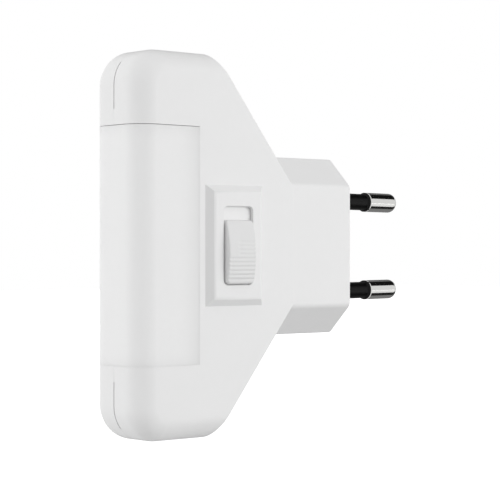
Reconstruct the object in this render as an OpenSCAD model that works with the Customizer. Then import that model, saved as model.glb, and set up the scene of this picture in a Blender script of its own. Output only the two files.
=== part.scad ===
// Plug-in night light with a slide switch and a two-pin plug.
// X is the width, with the switch on +X. The front faces -Y and the pins leave along +Y.
// The origin is the centre of the plug's flat face, which meets the socket. Z is up.

/* [Housing] */
// Width of the housing, without the switch panel
body_w = 14.8; // [14.2:0.1:18]
// Height of the housing
body_h = 73.2; // [71:0.2:84]
// Depth from the socket to the front
body_depth = 54.7; // [54:0.1:62]
// Radius of the rounded front, top and bottom edges
edge_r = 4.4; // [3.6:0.1:5.2]
// Radius of the front corners, seen from the side
corner_r = 6.8; // [6.2:0.1:9]
// Wall thickness of the two shells
wall = 1.5; // [1.2:0.1:1.8]
// Length of the flat top and bottom, from the front to the slanted backs
top_len = 18.5; // [17:0.1:19.5]
// Half height of the housing where the slanted backs end
slant_foot = 11.5; // [10.5:0.1:12]
// Radius of the pegs that align the shells
peg_r = 1.2; // [0.8:0.1:1.4]
// Wall around each peg's socket
peg_wall = 1; // [0.8:0.1:1.4]
// Clearance between pieces that fit into each other
fit_gap = 0.05; // [0.02:0.01:0.1]
// Width of the slit on the parting line of each cap
slit_w = 0.24; // [0.1:0.02:0.5]
// Depth of the slit on the parting line
slit_depth = 0.6; // [0.2:0.1:1]
// Distance from the diffuser to the slit
slit_start = 3; // [2:0.1:4]
// Distance from the slit's outer end to the top of the housing
slit_end = 2.5; // [1.5:0.1:3.5]

/* [Diffuser] */
// Height of the diffuser's opening
window_h = 44.8; // [42:0.2:48]
// Depth of the diffuser's opening, from the front
window_d = 14.6; // [14:0.1:16]
// Thickness of the diffuser
diffuser_t = 1.8; // [1.8:0.1:2]
// Gap above the diffuser
seam_top = 0.15; // [0.1:0.05:0.5]
// Gap below and behind the diffuser
seam = 0.05; // [0.02:0.01:0.2]
// How far the diffuser's flange reaches behind the shells
flange_reach = 1.6; // [1:0.1:2]
// Thickness of the diffuser's flange
diffuser_flange_t = 0.8; // [0.6:0.1:1]
// Clearance between the flange and the shells
flange_gap = 0.1; // [0.05:0.01:0.2]

/* [Switch panel] */
// Height of the panel's base, along Z
panel_h = 23; // [22.6:0.1:26]
// Width of the panel's base, along Y
panel_w = 14.2; // [13.5:0.1:15]
// How far the panel stands out
panel_rise = 1.4; // [1.2:0.1:1.8]
// Width of the panel's bevelled sides
panel_bevel = 1.4; // [0.8:0.1:1.6]
// Thickness of the panel's wall
panel_t = 0.7; // [0.6:0.05:0.8]
// Distance from the front to the middle of the panel
panel_from_front = 23; // [22.5:0.1:23.3]
// Height of the window in the panel
slot_h = 15; // [14.8:0.1:15.3]
// Width of the window in the panel
slot_w = 7.3; // [7.1:0.1:7.5]
// Radius of the window's corners
slot_r = 1; // [0.5:0.1:1.5]

/* [Switch] */
// Travel of the switch
travel = 2.4; // [2:0.1:2.6]
// Height of the thumb piece
knob_h = 11.8; // [11:0.1:12.2]
// Width of the thumb piece
knob_w = 6.8; // [6:0.1:6.9]
// How far the thumb piece stands out of the panel at its ends
knob_rise = 0.45; // [0.3:0.01:0.8]
// How much the middle of the thumb piece is raised above its ends
knob_crown = 0.85; // [0.4:0.05:1]
// Radius of the thumb piece's corners
knob_r = 0.8; // [0.4:0.1:1]
// Number of grooves on the thumb piece
groove_count = 10; // [4:1:10]
// Distance between grooves
groove_pitch = 0.79; // [0.7:0.01:0.8]
// Distance from the lower end of the thumb piece to the first groove
groove_end = 1.05; // [0.8:0.05:1.2]
// Radius of the grooves
groove_r = 0.32; // [0.2:0.01:0.34]
// Depth of the grooves
groove_depth = 0.24; // [0.1:0.01:0.26]
// Thickness of the cover plate under the window
cover_t = 1.3; // [1.1:0.05:1.4]
// How far the cover plate reaches past the window at each end of travel
cover_lap = 0.45; // [0.3:0.05:0.5]
// How far the cover plate reaches past the window at its sides
cover_side = 0.5; // [0.3:0.05:0.6]
// Bevel at the ends of the cover plate, which keeps the panel's wall above it thick
cover_bevel = 0.4; // [0.3:0.05:0.45]
// Clearance of sliding faces
slide_gap = 0.1; // [0.06:0.01:0.15]
// Clearance of the slider's sides in the frame
side_gap = 0.3; // [0.2:0.05:0.4]
// Clearance of the switch frame in its pocket
frame_gap = 0.15; // [0.1:0.01:0.2]
// Depth of the switch frame, from its rim to the board
frame_depth = 8; // [7.8:0.1:8.2]
// Wall of the switch frame
frame_wall = 0.9; // [0.8:0.1:1]
// Thickness of the contact strips
strip_t = 0.4; // [0.3:0.05:0.5]
// Width of the contact strips
strip_w = 3.2; // [2.6:0.1:3.6]
// Gap between the two contact strips
strip_gap = 1; // [0.8:0.1:1.2]
// Length of the moving contact
bridge_l = 5; // [4.8:0.1:5.2]
// Width of the moving contact
bridge_w = 2.6; // [2:0.1:3]
// Mean radius of the contact spring
spring_r = 1; // [0.8:0.05:1.1]
// Wire thickness of the contact spring
spring_wire = 0.35; // [0.25:0.05:0.4]
// Length of the contact spring in its bore
spring_len = 3.7; // [3.2:0.1:3.8]
// Turns of the contact spring
spring_turns = 5; // [3:1:6]

/* [Plug] */
// Length of the plug block
block_len = 16.2; // [15.5:0.1:17]
// Height of the plug block over its two narrow ends
block_h = 35.4; // [35:0.1:35.8]
// Thickness of the plug block
block_w = 13.7; // [13.4:0.1:14]
// Height of the plug block's flat sides
block_flat = 24.1; // [23:0.1:25]
// Width of the plug block's narrow ends
block_end = 2.1; // [1.5:0.1:3]
// Radius of the plug block's side edges
block_r = 1.6; // [0.5:0.1:2]
// Thickness of the plug's end wall
end_wall = 1.8; // [1.5:0.1:2]
// Distance between the pins at the plug's face
pin_gap = 18.6; // [18.2:0.1:19]
// Angle by which each pin leans inward
pin_lean = 0.6; // [0:0.1:1]
// Radius of the pins' metal ends
pin_r = 2; // [1.95:0.01:2.05]
// Length of the pins outside the plug
pin_len = 19; // [18.5:0.1:19.5]
// Rounding of the pins' tips
pin_round = 1.5; // [1:0.1:1.8]
// Length of the sleeves outside the plug
sleeve_len = 10.8; // [10:0.1:11]
// Radius of the sleeves
sleeve_r = 1.7; // [1.6:0.05:1.8]
// Length of the full-size collar at the end of each sleeve
collar_len = 0.4; // [0.3:0.1:0.9]
// Radius of the pins inside the sleeves
neck_r = 1.25; // [1.1:0.05:1.3]

/* [Electronics] */
// Thickness of the circuit boards
board_t = 1; // [0.8:0.1:1.2]
// Distance from the driver board's ends to the top and bottom of the housing
board_end = 8.7; // [8.2:0.1:9.2]
// Radius of the posts that clamp the driver board
post_r = 1.6; // [1.4:0.1:1.8]
// Distance from the two capacitors to the ends of the driver board
cap_end = 5.3; // [4.8:0.1:7]
// Width of the film capacitor
film_w = 8; // [6:0.5:8]
// Height of the film capacitor
film_t = 5.5; // [4:0.5:6]
// Radius of the smoothing capacitor
can_r = 3.15; // [2.5:0.05:3.2]
// Radius of the resistors
resistor_r = 1.15; // [0.9:0.05:1.2]
// Length of the resistors
resistor_l = 6.5; // [5:0.5:7]
// Thickness of the reflector tray's walls
tray_wall = 1; // [0.8:0.1:1]
// Depth of the reflector tray
tray_depth = 3.7; // [3.4:0.1:3.8]
// Clearance at the ends of the LED board
strip_end_gap = 0.6; // [0.4:0.1:1.5]
// Width of the LED board
strip_board_w = 7.6; // [7:0.1:7.6]
// Side of each LED
led_side = 5; // [3.5:0.1:5]
// Height of each LED
led_t = 1.6; // [1.2:0.1:2]
// Distance from the outer LEDs to the ends of the diffuser
led_end = 8.6; // [8.2:0.1:10.5]
// Radius of the supply wires
wire_r = 0.65; // [0.5:0.05:0.7]
// Radius of the bends in the supply wires
wire_bend = 1.4; // [1.2:0.1:1.6]

/* [Hidden] */
$fn = 64;

white = [0.93, 0.93, 0.92];
frosted = [0.9, 0.91, 0.92];
nickel = [0.72, 0.71, 0.69];
far = 100;          // longer than the part, for cuts that run right through
cut = 1;            // how far a cut runs past what it cuts

// Housing
half_w = body_w / 2;
half_h = body_h / 2;
front_y = -body_depth;
slant_start = body_depth - top_len;
slant_rise = half_h - slant_foot;
slant_run = slant_start - block_len;
slant_angle = atan2(slant_rise, slant_run);
inner_x = half_w - wall;
peg_inset = 8.3;            // of the front pegs, from the front

// Diffuser and what lies behind it
window_y = front_y + window_d;
flange_y = window_y + flange_reach;
flange_z = window_h / 2 + flange_reach;
flange_inset = wall + flange_gap;
tray_gap = 0.2;
tray_y = flange_y + tray_gap;
tray_w = 2 * (half_w - flange_inset - diffuser_flange_t - flange_gap);
tray_h = window_h + 1;
strip_board_l = tray_h - 2 * (tray_wall + strip_end_gap);
led_y = tray_y - tray_wall;
led_pitch = window_h / 2 - led_end;
rail_t = 1;
rail_l = 6;
rail_z = 12;
rail_y = tray_y + flange_gap;

// Switch: heights along X, from the panel's face inward
panel_y = front_y + panel_from_front;
panel_x = half_w + panel_rise;
ceiling_x = panel_x - panel_t;
cover_x = ceiling_x - slide_gap;
cover_under = cover_x - cover_t;
rim_x = cover_under - slide_gap;
board_x = rim_x - frame_depth;
floor_x = board_x + frame_wall;
strip_x = floor_x + strip_t;
rest_z = -travel / 2;
cover_w = slot_w + 2 * cover_side;
cover_h = slot_h + 2 * cover_lap + travel;
pocket_w = cover_w + 2 * side_gap;
pocket_h = cover_h + travel + 2 * slide_gap;
frame_w = pocket_w - 2 * frame_gap;
frame_h = pocket_h - 2 * frame_gap;
slider_stop = 0.6;          // from the slider to the frame's end wall at each end of travel
slider_w = frame_w - 2 * (frame_wall + side_gap);
slider_h = frame_h - travel - 2 * (frame_wall + side_gap + slider_stop);
lift = 1;                   // from the contact strips to the slider
slider_x = strip_x + lift;
knob_rad = (pow(knob_h / 2, 2) + pow(knob_crown, 2)) / (2 * knob_crown);
knob_top = panel_x + knob_rise + knob_crown;
strip_end = 1.3;            // from the contact strips to the frame's end walls
strip_z = frame_h / 2 - frame_wall - strip_end;
split_z = -1.7;             // middle of the gap between the contact strips
open_gap = 0.3;             // from the moving contact to that gap when the switch is off
foot_r = 0.35;
foot_h = 1.45;
bridge_z = split_z - strip_gap / 2 - open_gap - bridge_l / 2;
bridge_x = strip_x + slide_gap + foot_h;
spring_top = bridge_x + strip_t + spring_len;
tag_w = 2;
tag_t = 0.5;
tag_reach = 1.2;            // of the tags below the board
tag_end = board_x - board_t - tag_reach;

// Plug
block_angle = atan2(block_h - block_flat, block_w - block_end);
pin_z = pin_gap / 2;
shoulder_y = -2;
disc_y = [-7.1, -5.3];
disc_r = 3.2;
tail_r = 1.55;
tail_y = -13;
cup_depth = 3;
rib_t = 1.5;
rib_y = [[disc_y[0] - fit_gap - rib_t, disc_y[0] - fit_gap],
         [disc_y[1] + fit_gap, disc_y[1] + fit_gap + rib_t]];
rib_z = 4.2;
wire_z = pin_z - tail_y * tan(pin_lean);

// Driver board
board_h = body_h - 2 * board_end;
rail_gap = 0.3;             // from the board to the rails
board_rim = 3;              // of the board, past the switch frame
board_y = rail_y + rail_t + rail_gap;
board_back = panel_y + frame_w / 2 + board_rim;
board_under = board_x - board_t;
wire_y = board_back - 1.7;
post_inset = [3, 2.5];      // of the front posts, from the board's edges
post_clear = 2.6;           // from the back posts' axes to the switch frame
post_front = [board_y + post_inset[0], board_h / 2 - post_inset[1]];
post_back = [wire_y, frame_h / 2 + post_clear];
post_pin_r = post_r - 0.7;
peg_front = [front_y + peg_inset, (flange_z + half_h) / 2 - 0.95];
peg_places = [peg_front, [peg_front[0], -peg_front[1]], [board_back + 4.5, 0], [disc_y[0] + 0.1, 0]];
post_places = [post_front, [post_front[0], -post_front[1]], post_back, [post_back[0], -post_back[1]]];
lead_r = 0.3;
part_gap = 1.2;             // from the capacitors to the switch frame
film_z = frame_h / 2 + part_gap;
film_l = board_h / 2 - cap_end - film_z;
can_z = -frame_h / 2 - part_gap;
can_l = board_h / 2 - cap_end + can_z;
can_y = board_y + 5.3;
link_t = 0.6;
link_z = [3.5 - strip_board_l / 2, 0.96 - strip_board_l / 2];
bleed_at = [board_y + 2.8, film_z + film_l / 2];
fuse_at = [wire_y - 2, 0];

// ---- Shapes that repeat ----

// A rectangle with round corners, centred
module round_rect(w, h, r) {
    square([w - 2 * r, h], center = true);
    square([w, h - 2 * r], center = true);
    for (sx = [-1, 1], sy = [-1, 1]) translate([sx * (w / 2 - r), sy * (h / 2 - r)]) circle(r);
}

// Lays a shape drawn in X and Y on the Y-Z plane and extrudes it from x = x0 to x1
module across(x0, x1) {
    translate([x0, 0, 0]) rotate([90, 0, 90]) linear_extrude(height = x1 - x0) children();
}

// Extrudes a shape drawn in X and Z along Y, from y = y0 to y1
module along(y0, y1) {
    translate([0, y1, 0]) rotate([90, 0, 0]) linear_extrude(height = y1 - y0) children();
}

// A cylinder along X at the given y and z
module x_rod(r, x0, x1, at) {
    translate([x0, at[0], at[1]]) rotate([0, 90, 0]) cylinder(r = r, h = x1 - x0);
}

// A cylinder along Y on the axis
module y_rod(r, y0, y1) {
    translate([0, y0, 0]) rotate([-90, 0, 0]) cylinder(r = r, h = y1 - y0);
}

// A box given by its low and high corners
module box(low, high) {
    translate(low) cube(high - low);
}

// Frame of a pin at the plug's face, leaning inward. side is 1 above and -1 below
module at_pin(side) {
    translate([0, 0, side * pin_z]) rotate([-side * pin_lean, 0, 0]) children();
}

// Points of an arc of radius r that rounds the corner b between a and c
function unit(v) = v / norm(v);
function corner(a, b, c, r, n = 8) =
    let (u = unit(a - b), v = unit(c - b), half = acos(u * v) / 2,
         m = b + unit(u + v) * r / sin(half), p = b + u * r / tan(half) - m,
         q = b + v * r / tan(half) - m, start = atan2(p[1], p[0]),
         turn = (atan2(q[1], q[0]) - start + 540) % 360 - 180)
    [for (i = [0:n]) m + r * [cos(start + turn * i / n), sin(start + turn * i / n)]];

// ---- Outer form of the housing, set in from its surface ----

// Depth and width, seen from above: round front edges and a square back
module plan(inset) {
    w = half_w - inset;
    r = edge_r - inset;
    translate([-w, front_y + inset + r]) square([2 * w, body_depth - inset - r]);
    translate([r - w, front_y + inset]) square([2 * (w - r), body_depth - inset]);
    for (s = [-1, 1]) translate([s * (w - r), front_y + inset + r]) circle(r);
}

// Width and height of the upper half, seen from the front: round top edges
module elevation(inset) {
    w = half_w - inset;
    r = edge_r - inset;
    h = half_h - inset;
    translate([-w, 0]) square([2 * w, h - r]);
    translate([r - w, 0]) square([2 * (w - r), h]);
    for (s = [-1, 1]) translate([s * (w - r), h - r]) circle(r);
}

// Section through a front corner, from its centre outward
module corner_section(inset) {
    w = half_w - inset;
    r = edge_r - inset;
    bend = corner_r - inset;
    intersection() {
        translate([0, -w]) square([bend, 2 * w]);
        union() {
            translate([0, -w]) square([bend - r, 2 * w]);
            translate([0, r - w]) square([bend, 2 * (w - r)]);
            for (s = [-1, 1]) translate([bend - r, s * (w - r)]) circle(r);
        }
    }
}

module front_corner(inset) {
    translate([0, front_y + corner_r, half_h - corner_r]) rotate([0, 90, 0]) rotate([0, 0, 180])
        rotate_extrude(angle = 90) corner_section(inset);
}

// Side view of the housing without its plug block
module side_view(inset) {
    top = half_h - inset;
    start = -slant_start - inset * tan(slant_angle / 2);
    end = -block_len;
    foot = slant_foot - inset / cos(slant_angle);
    polygon([[front_y - cut, -top], [start, -top], [end, -foot],
             [end, foot], [start, top], [front_y - cut, top]]);
}

module body_form(inset) {
    intersection() {
        union() {
            linear_extrude(height = 2 * (half_h - corner_r), center = true) plan(inset);
            for (m = [0, 1]) mirror([0, 0, m]) {
                front_corner(inset);
                along(front_y + corner_r, 0) elevation(inset);
            }
        }
        across(-half_w - cut, half_w + cut) side_view(inset);
    }
}

// Six-sided section of the plug block
module block_section(inset) {
    w = block_w / 2 - inset;
    h = block_h / 2 - inset;
    reach = block_w / 2 * sin(block_angle) + block_flat / 2 * cos(block_angle) - inset;
    flat = (reach - w * sin(block_angle)) / cos(block_angle);
    end = (reach - h * cos(block_angle)) / sin(block_angle);
    r = max(block_r - inset, 0.1);
    upper = corner([w, 0], [w, flat], [end, h], r);
    quarter = concat(upper, [[end, h]]);
    n = len(quarter);
    polygon(concat(quarter, [for (i = [n - 1:-1:0]) [-quarter[i][0], quarter[i][1]]],
                   [for (i = [0:n - 1]) [-quarter[i][0], -quarter[i][1]]],
                   [for (i = [n - 1:-1:0]) [quarter[i][0], -quarter[i][1]]]));
}

// Switch panel: a low block with bevelled sides
module panel_form() {
    w = panel_w / 2;
    h = panel_h / 2;
    root = half_w - wall;
    intersection() {
        linear_extrude(height = far, center = true)
            polygon([[root, panel_y - w], [half_w, panel_y - w], [panel_x, panel_y - w + panel_bevel],
                     [panel_x, panel_y + w - panel_bevel], [half_w, panel_y + w], [root, panel_y + w]]);
        along(-far, 0)
            polygon([[root, -h], [half_w, -h], [panel_x, panel_bevel - h],
                     [panel_x, h - panel_bevel], [half_w, h], [root, h]]);
    }
}

module housing_form() {
    body_form(0);
    along(-block_len - 7, 0) block_section(0);
    panel_form();
}

// Side view of the cover plate or of its pocket, h high, with bevelled corners at x1
module bevelled_side(x0, x1, h) {
    b = cover_bevel;
    polygon([[x0, -h / 2], [x1 - b, -h / 2], [x1, b - h / 2],
             [x1, h / 2 - b], [x1 - b, h / 2], [x0, h / 2]]);
}

module housing_hollow() {
    body_form(wall);
    along(-block_len - 7, -end_wall) block_section(wall);
    along(panel_y - pocket_w / 2, panel_y + pocket_w / 2) bevelled_side(0, ceiling_x, pocket_h);
    translate([0, panel_y, 0]) across(0, panel_x + cut) round_rect(slot_w, slot_h, slot_r);
}

// The diffuser's opening, cut out of the shells
module diffuser_opening() {
    box([-far, front_y - cut, -window_h / 2], [far, window_y, window_h / 2]);
}

module parting_slits() {
    for (s = [-1, 1]) {
        low = window_h / 2 + slit_start;
        high = half_h - slit_end;
        z = s > 0 ? [low, high] : [-high, -low];
        difference() {
            box([-slit_w / 2, front_y - cut, z[0]], [slit_w / 2, front_y + corner_r / 2, z[1]]);
            body_form(slit_depth);
        }
    }
}

// Ribs that hold the reflector tray, on one side
module tray_rails(side) {
    for (z = [-rail_z, rail_z]) {
        x = side > 0 ? [inner_x - 2, inner_x + fit_gap] : [-inner_x - fit_gap, 2 - inner_x];
        box([x[0], rail_y, z - rail_l / 2], [x[1], rail_y + rail_t, z + rail_l / 2]);
    }
}

// Ribs in the plug block that clamp the pins
module pin_ribs(side) {
    intersection() {
        for (y = rib_y) along(y[0], y[1]) difference() {
            block_section(wall - fit_gap);
            square([far, 2 * rib_z], center = true);
        }
        box([side > 0 ? 0 : -far, -far, -far], [side > 0 ? far : 0, far, far]);
    }
}

module pin_bores() {
    for (s = [-1, 1]) at_pin(s) {
        y_rod(sleeve_r + fit_gap, -end_wall - 0.1, cut);
        y_rod(pin_r + fit_gap, disc_y[1], -end_wall - 0.1);
        y_rod(tail_r + fit_gap, tail_y, disc_y[1]);
    }
}

module shell_half(side) {
    intersection() {
        difference() {
            housing_form();
            housing_hollow();
            diffuser_opening();
            parting_slits();
        }
        box([side > 0 ? 0 : -far, -far, -far], [side > 0 ? far : 0, far, far]);
    }
    tray_rails(side);
    pin_ribs(side);
}

// ---- Shells ----

module left_shell() {
    color(white) difference() {
        union() {
            shell_half(-1);
            for (p = peg_places) {
                x_rod(peg_r + peg_wall, -inner_x - fit_gap, 0, p);
                x_rod(peg_r, 0, 3, p);
            }
            for (p = post_places) {
                x_rod(post_r, -inner_x - fit_gap, board_under, p);
                x_rod(post_pin_r, board_under, board_x + 3, p);
            }
        }
        pin_bores();
    }
}

module right_shell() {
    color(white) difference() {
        union() {
            shell_half(1);
            for (p = peg_places) x_rod(peg_r + peg_wall, 0, inner_x + fit_gap, p);
            for (p = post_places) x_rod(post_r, board_x, inner_x + fit_gap, p);
        }
        for (p = peg_places) x_rod(peg_r + fit_gap, -cut, 3.4, p);
        for (p = post_places) x_rod(post_pin_r + fit_gap, board_x - cut, board_x + 3.4, p);
        pin_bores();
    }
}

// ---- Diffuser ----

module diffuser() {
    color(frosted) {
        difference() {
            intersection() {
                linear_extrude(height = far, center = true) plan(0);
                box([-far, front_y - cut, seam - window_h / 2],
                    [far, window_y - seam, window_h / 2 - seam_top]);
            }
            linear_extrude(height = far, center = true) plan(diffuser_t);
        }
        difference() {
            intersection() {
                linear_extrude(height = far, center = true) plan(flange_inset);
                box([-far, front_y - cut, -flange_z], [far, flange_y, flange_z]);
            }
            linear_extrude(height = far, center = true) plan(flange_inset + diffuser_flange_t);
            box([-far, front_y - cut, 2 * flange_reach - flange_z],
                [far, window_y - 2 * flange_reach, flange_z - 2 * flange_reach]);
        }
    }
}

// ---- Slide switch ----

// The thumb piece, its cover plate and the slider are one moulding
module switch_knob() {
    color(white) translate([0, panel_y, rest_z]) difference() {
        union() {
            intersection() {
                across(cover_x - 0.1, knob_top + cut) round_rect(knob_w, knob_h, knob_r);
                translate([knob_top - knob_rad, 0, 0]) rotate([90, 0, 0])
                    cylinder(r = knob_rad, h = far, center = true, $fn = 360);
            }
            along(-cover_w / 2, cover_w / 2) bevelled_side(cover_under, cover_x, cover_h);
            box([slider_x, -slider_w / 2, -slider_h / 2],
                [cover_under + 0.1, slider_w / 2, slider_h / 2]);
        }
        for (i = [0:groove_count - 1]) {
            z = groove_end - knob_h / 2 + i * groove_pitch;
            translate([knob_top - knob_rad, 0, 0]) rotate([0, -asin(z / knob_rad), 0])
                translate([knob_rad + groove_r - groove_depth, 0, 0]) rotate([90, 0, 0])
                    cylinder(r = groove_r, h = far, center = true);
        }
        box([0, -bridge_w / 2 - slide_gap, bridge_z - rest_z - bridge_l / 2 - 2 * slide_gap],
            [bridge_x + strip_t + 0.3, bridge_w / 2 + slide_gap,
             bridge_z - rest_z + bridge_l / 2 + 2 * slide_gap]);
        x_rod(spring_r + spring_wire / 2 + 0.2, 0, spring_top, [0, bridge_z - rest_z]);
    }
}

// Moving contact: a strip with two rounded feet
module contact_bridge() {
    leg = bridge_l / 2 - strip_t;
    color("goldenrod") translate([0, panel_y, bridge_z]) {
        box([bridge_x, -bridge_w / 2, -bridge_l / 2], [bridge_x + strip_t, bridge_w / 2, bridge_l / 2]);
        for (s = [-1, 1]) {
            z = s > 0 ? [leg, bridge_l / 2] : [-bridge_l / 2, -leg];
            box([strip_x + slide_gap + foot_r, -bridge_w / 2, z[0]],
                [bridge_x + strip_t, bridge_w / 2, z[1]]);
            translate([strip_x + slide_gap + foot_r, 0, s * (bridge_l / 2 - foot_r)])
                rotate([90, 0, 0]) cylinder(r = foot_r, h = bridge_w, center = true, $fn = 32);
        }
    }
}

// Wire of the contact spring: a six-sided tube swept along a helix
module contact_spring() {
    per_turn = 18;
    sides = 6;
    rings = per_turn * spring_turns;
    wire = spring_wire / 2;
    low = bridge_x + strip_t + wire;
    rise = spring_top - 0.02 - wire - low;
    points = [for (i = [0:rings], j = [0:sides - 1])
        let (t = 360 * i / per_turn, a = 360 * j / sides, r = spring_r + wire * cos(a))
        [low + rise * i / rings + wire * sin(a), r * cos(t), r * sin(t)]];
    walls = [for (i = [0:rings - 1], j = [0:sides - 1])
        let (a = i * sides + j, b = i * sides + (j + 1) % sides)
        each [[a, b, a + sides], [b, b + sides, a + sides]]];
    ends = [[for (j = [sides - 1:-1:0]) j], [for (j = [0:sides - 1]) rings * sides + j]];
    color("silver") translate([0, panel_y, bridge_z])
        polyhedron(points = points, faces = concat(walls, ends), convexity = 6);
}

module switch_frame() {
    w = frame_w / 2;
    h = frame_h / 2;
    color("dimgray") translate([0, panel_y, 0]) difference() {
        box([board_x, -w, -h], [rim_x, w, h]);
        box([floor_x, frame_wall - w, frame_wall - h], [rim_x + cut, w - frame_wall, h - frame_wall]);
        for (s = [-1, 1]) terminal_slot(s);
    }
}

// Slot for the tag at the end of a contact strip
module terminal_slot(side) {
    z = side * (strip_z - tag_t / 2);
    translate([0, 0, z]) cube([far, tag_w + 2 * fit_gap, tag_t + 2 * fit_gap], center = true);
}

// Contact strip with its tag, from the middle gap to one end of the frame
module terminal(side) {
    inner = split_z + side * strip_gap / 2;
    strip = side > 0 ? [inner, strip_z] : [-strip_z, inner];
    tag = side > 0 ? [strip_z - tag_t, strip_z] : [-strip_z, tag_t - strip_z];
    color("goldenrod") translate([0, panel_y, 0]) {
        box([floor_x, -strip_w / 2, strip[0]], [strip_x, strip_w / 2, strip[1]]);
        box([tag_end, -tag_w / 2, tag[0]], [strip_x, tag_w / 2, tag[1]]);
    }
}

module terminal_supply() { terminal(-1); }
module terminal_load() { terminal(1); }

// ---- Plug pins ----

module plug_pin() {
    y_rod(pin_r, sleeve_len, pin_len - pin_round);
    y_rod(pin_r - pin_round, sleeve_len, pin_len);
    translate([0, pin_len - pin_round, 0]) rotate([-90, 0, 0]) rotate_extrude()
        intersection() {
            translate([pin_r - pin_round, 0]) circle(pin_round);
            square([pin_r, pin_round]);
        }
    y_rod(neck_r, shoulder_y, sleeve_len + 0.1);
    y_rod(pin_r, disc_y[1] - 0.1, shoulder_y);
    y_rod(disc_r, disc_y[0], disc_y[1]);
    difference() {
        y_rod(tail_r, tail_y, disc_y[0] + 0.1);
        y_rod(wire_r + 2 * fit_gap, tail_y - cut, tail_y + cup_depth);
    }
}

module pin_upper() { color(nickel) at_pin(1) plug_pin(); }
module pin_lower() { color(nickel) at_pin(-1) plug_pin(); }

module sleeve() {
    inner = neck_r + 0.01;
    start = shoulder_y + 0.02;
    end = sleeve_len - 0.02;
    rotate([-90, 0, 0]) rotate_extrude()
        polygon([[inner, start], [sleeve_r, start], [sleeve_r, end - 1.6 * collar_len],
                 [pin_r, end - collar_len], [pin_r, end], [inner, end]]);
}

module sleeve_upper() { color([0.06, 0.06, 0.06]) at_pin(1) sleeve(); }
module sleeve_lower() { color([0.06, 0.06, 0.06]) at_pin(-1) sleeve(); }

// ---- Driver board and what it carries ----

// Inner face of the slanted back at height z
function slant_y(z, inset) =
    (half_h - z) / tan(slant_angle) - slant_start - inset / sin(slant_angle);

module driver_board() {
    h = board_h / 2;
    gap = 0.8;
    top = slant_y(h, wall + gap);
    knee = half_h - (board_back + slant_start + (wall + gap) / sin(slant_angle)) * tan(slant_angle);
    color([0.16, 0.42, 0.25]) difference() {
        across(board_under, board_x)
            polygon([[board_y, -h], [top, -h], [board_back, -knee], [board_back, knee], [top, h],
                     [board_y, h]]);
        for (p = post_places) x_rod(post_pin_r + fit_gap, board_under - cut, board_x + cut, p);
        for (s = [-1, 1]) {
            x_rod(wire_r + fit_gap, board_under - cut, board_x + cut, [wire_y, s * wire_z]);
            translate([0, panel_y, 0]) terminal_slot(s);
        }
        for (p = [bleed_at, fuse_at], s = [-1, 1])
            x_rod(lead_r + fit_gap, board_under - cut, board_x + cut, [p[0], p[1] + s * lead_reach]);
    }
}

module film_capacitor() {
    color([0.75, 0.62, 0.2])
        translate([board_x, board_y + film_w / 2 + 0.4, film_z + film_l / 2])
            across(0, film_t) round_rect(film_w, film_l, 0.6);
}

// Lead of a resistor, bent through the board, towards +Z
lead_reach = resistor_l / 2 + 1.6;
lead_bend = 0.8;
resistor_x = board_under - resistor_r - 0.1;
module resistor_lead() {
    straight = lead_reach - lead_bend;
    translate([resistor_x, 0, resistor_l / 2 - 0.1])
        cylinder(r = lead_r, h = straight - resistor_l / 2 + 0.1, $fn = 24);
    translate([resistor_x + lead_bend, 0, straight]) rotate([-90, 0, 0]) rotate([0, 0, 180])
        rotate_extrude(angle = 90) translate([lead_bend, 0]) circle(lead_r, $fn = 24);
    x_rod(lead_r, resistor_x + lead_bend, board_x - 0.1, [0, lead_reach]);
}

module resistor(at) {
    cap = 1.3;
    translate([0, at[0], at[1]]) {
        translate([resistor_x, 0, 0]) cylinder(r = resistor_r - 0.15, h = resistor_l, center = true);
        for (m = [0, 1]) mirror([0, 0, m]) {
            translate([resistor_x, 0, resistor_l / 2 - cap]) cylinder(r = resistor_r, h = cap);
            resistor_lead();
        }
    }
}

module bleed_resistor() { color([0.78, 0.68, 0.5]) resistor(bleed_at); }
module fuse_resistor() { color([0.35, 0.55, 0.75]) resistor(fuse_at); }

module bridge_rectifier() {
    y = can_y;
    z = can_z - 5;
    color([0.12, 0.12, 0.12]) {
        box([board_under - 2.5, y - 2, z - 2.4], [board_under - 0.1, y + 2, z + 2.4]);
        for (sy = [-1, 1], sz = [-1, 1]) {
            leg_y = sy > 0 ? [y + 1.9, y + 3.1] : [y - 3.1, y - 1.9];
            box([board_under - 0.4, leg_y[0], z + sz * 1.25 - 0.35],
                [board_under, leg_y[1], z + sz * 1.25 + 0.35]);
        }
    }
}

module smoothing_capacitor() {
    color([0.1, 0.13, 0.3]) translate([board_x + can_r + 0.02, can_y, can_z - can_l]) {
        cylinder(r = can_r, h = can_l - 1.6);
        translate([0, 0, can_l - 1.7]) cylinder(r = can_r - 0.3, h = 0.7);
        translate([0, 0, can_l - 1.1]) cylinder(r = can_r, h = 1.1);
    }
}

// Insulated wire from the cup in a pin's tail to the driver board
module supply_wire(side) {
    translate([0, 0, side * wire_z]) {
        y_rod(wire_r, wire_y + wire_bend, tail_y + cup_depth - 0.4);
        translate([-wire_bend, wire_y + wire_bend, 0]) rotate([0, 0, -90])
            rotate_extrude(angle = 90) translate([wire_bend, 0]) circle(wire_r, $fn = 32);
        x_rod(wire_r, board_under - 0.6, -wire_bend, [wire_y, 0]);
    }
}

module supply_wire_upper() { color("saddlebrown") supply_wire(1); }
module supply_wire_lower() { color("royalblue") supply_wire(-1); }

// Header pin from the driver board through the tray to the LED board
module link_pin(z) {
    color("goldenrod")
        box([board_x, led_y - board_t - 0.8, z - link_t / 2],
            [board_x + link_t, board_y + 1.3, z + link_t / 2]);
}

module link_pin_upper() { link_pin(link_z[0]); }
module link_pin_lower() { link_pin(link_z[1]); }

module link_holes() {
    t = link_t + 2 * fit_gap;
    for (z = link_z) translate([board_x + link_t / 2, 0, z]) cube([t, far, t], center = true);
}

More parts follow.
